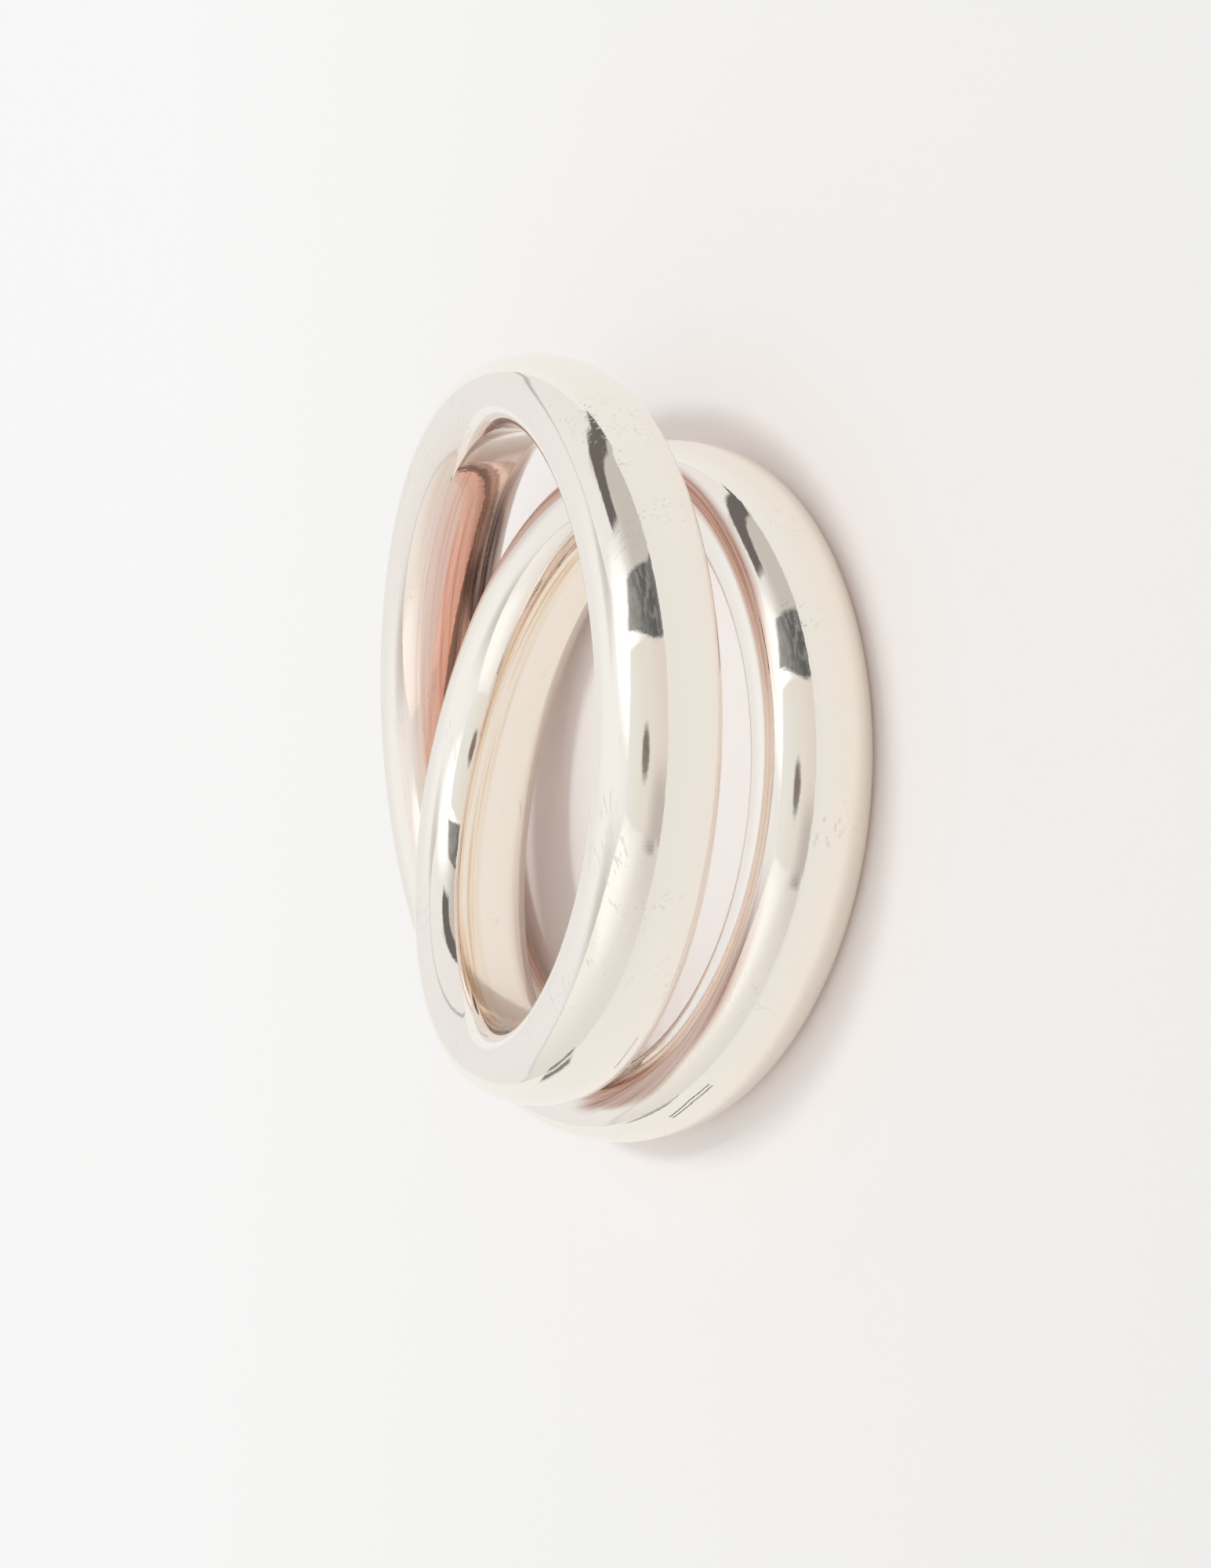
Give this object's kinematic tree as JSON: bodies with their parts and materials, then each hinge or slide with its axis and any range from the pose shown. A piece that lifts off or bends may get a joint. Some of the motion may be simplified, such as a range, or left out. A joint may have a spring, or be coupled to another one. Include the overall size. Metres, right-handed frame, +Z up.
{
  "type": "double loop silver ring",
  "caption": "Heavy polished silver finger ring of one domed band wound twice, with its strands apart in front and crossing behind.",
  "frame": {"origin": "on the surface that the ring lies on, below the middle of its outer box", "axes": "+Z up, close to the finger's axis as the ring lies on its side; the two strands stand apart on the -Y side, and they cross on the +Y side"},
  "size_m": [0.027, 0.0272, 0.0106],
  "materials": {
    "silver": "polished silver"
  },
  "bodies": {
    "root": {"double_loop_band": "silver"}
  },
  "joints": []
}
